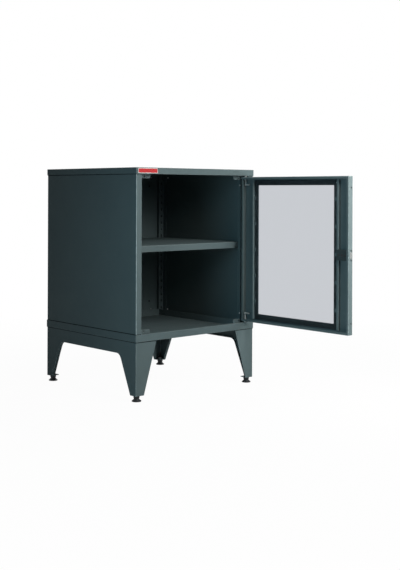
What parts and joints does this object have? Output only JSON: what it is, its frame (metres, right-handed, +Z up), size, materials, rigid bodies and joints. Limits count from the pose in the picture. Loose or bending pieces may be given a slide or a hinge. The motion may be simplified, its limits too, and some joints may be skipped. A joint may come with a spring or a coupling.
{
  "type": "tool chest side locker",
  "caption": "Sheet-steel side locker on tapered legs with levelling feet, a glazed swing door with a turn lock and lift-out hinge pins, and a shelf on clips in slotted columns.",
  "frame": {"origin": "middle of the bounding box at floor level, with the door standing open at a right angle", "axes": "+Z up, the front and its open door face -Y, +X to the right of someone facing the front"},
  "size_m": [0.63, 1.1526, 0.89],
  "materials": {
    "painted_steel": "satin powder coat, dark blue grey",
    "zinc_steel": "bright zinc plate",
    "black_plastic": "matt black moulding",
    "black_rubber": "matt black rubber",
    "clear_sheet": "clear polished sheet",
    "red_plate": "gloss red, blank"
  },
  "bodies": {
    "cabinet": {"top_panel": "painted_steel", "bottom_tray": "painted_steel", "left_side_panel": "painted_steel", "right_side_panel": "painted_steel", "back_panel": "painted_steel", "tray_liner": "painted_steel", "front_left_column": "painted_steel", "front_right_column": "painted_steel", "rear_left_column": "painted_steel", "rear_right_column": "painted_steel", "front_left_shelf_clip": "zinc_steel", "front_right_shelf_clip": "zinc_steel", "rear_left_shelf_clip": "zinc_steel", "rear_right_shelf_clip": "zinc_steel", "lower_left_gusset": "painted_steel", "lower_right_gusset": "painted_steel", "upper_left_gusset": "painted_steel", "upper_right_gusset": "painted_steel", "left_base_frame": "painted_steel", "right_base_frame": "painted_steel", "front_left_foot_plate": "painted_steel", "front_right_foot_plate": "painted_steel", "rear_left_foot_plate": "painted_steel", "rear_right_foot_plate": "painted_steel", "front_left_foot_nut": "zinc_steel", "front_right_foot_nut": "zinc_steel", "rear_left_foot_nut": "zinc_steel", "rear_right_foot_nut": "zinc_steel", "badge_plate": "red_plate"},
    "shelf": {"shelf": "painted_steel"},
    "front_left_foot": {"front_left_foot_stud": "zinc_steel", "front_left_foot_pad": "black_rubber"},
    "front_right_foot": {"front_right_foot_stud": "zinc_steel", "front_right_foot_pad": "black_rubber"},
    "rear_left_foot": {"rear_left_foot_stud": "zinc_steel", "rear_left_foot_pad": "black_rubber"},
    "rear_right_foot": {"rear_right_foot_stud": "zinc_steel", "rear_right_foot_pad": "black_rubber"},
    "door": {"door_pan": "painted_steel", "pane_gasket": "black_rubber", "door_pane": "clear_sheet", "hinge_side_pane_rail": "painted_steel", "free_side_pane_rail": "painted_steel", "lock_case": "black_plastic", "upper_bolt_guide": "painted_steel", "lower_bolt_guide": "painted_steel"},
    "lock_bolt": {"lock_bolt": "zinc_steel"},
    "lock_knob": {"lock_knob": "black_plastic"},
    "upper_hinge_bolt": {"upper_hinge_bolt": "zinc_steel"},
    "lower_hinge_bolt": {"lower_hinge_bolt": "zinc_steel"}
  },
  "joints": [
    {"name": "door_swing", "type": "hinge", "parent": "cabinet", "child": "door", "pos_m": [0.276, -0.01525, 0.5596], "axis": [0, 0, 1], "range_deg": [-90, 10]},
    {"name": "lock_knob_turn", "type": "hinge", "parent": "door", "child": "lock_knob", "pos_m": [0.2845, -0.54175, 0.5596], "axis": [1, 0, 0], "range_deg": [0, 90]},
    {"name": "lock_bolt_slide", "type": "slide", "parent": "door", "child": "lock_bolt", "axis": [0, -1, 0], "range_m": [0, 0.014]},
    {"name": "upper_hinge_bolt_slide", "type": "slide", "parent": "door", "child": "upper_hinge_bolt", "axis": [0, 0, -1], "range_m": [0, 0.012], "stiffness_N_per_m": 400, "springref_m": -0.01},
    {"name": "lower_hinge_bolt_slide", "type": "slide", "parent": "door", "child": "lower_hinge_bolt", "axis": [0, 0, 1], "range_m": [0, 0.012], "stiffness_N_per_m": 400, "springref_m": -0.01},
    {"name": "shelf_lift", "type": "slide", "parent": "cabinet", "child": "shelf", "axis": [0, 0, 1], "range_m": [0, 0.03]},
    {"name": "front_left_foot_screw", "type": "slide", "parent": "cabinet", "child": "front_left_foot", "axis": [0, 0, -1], "range_m": [0, 0.015]},
    {"name": "front_right_foot_screw", "type": "slide", "parent": "cabinet", "child": "front_right_foot", "axis": [0, 0, -1], "range_m": [0, 0.015]},
    {"name": "rear_left_foot_screw", "type": "slide", "parent": "cabinet", "child": "rear_left_foot", "axis": [0, 0, -1], "range_m": [0, 0.015]},
    {"name": "rear_right_foot_screw", "type": "slide", "parent": "cabinet", "child": "rear_right_foot", "axis": [0, 0, -1], "range_m": [0, 0.015]}
  ],
  "couplings": [
    {"joint": "lock_knob_turn", "follows": "lock_bolt_slide", "rad_per_m": 112.2}
  ]
}
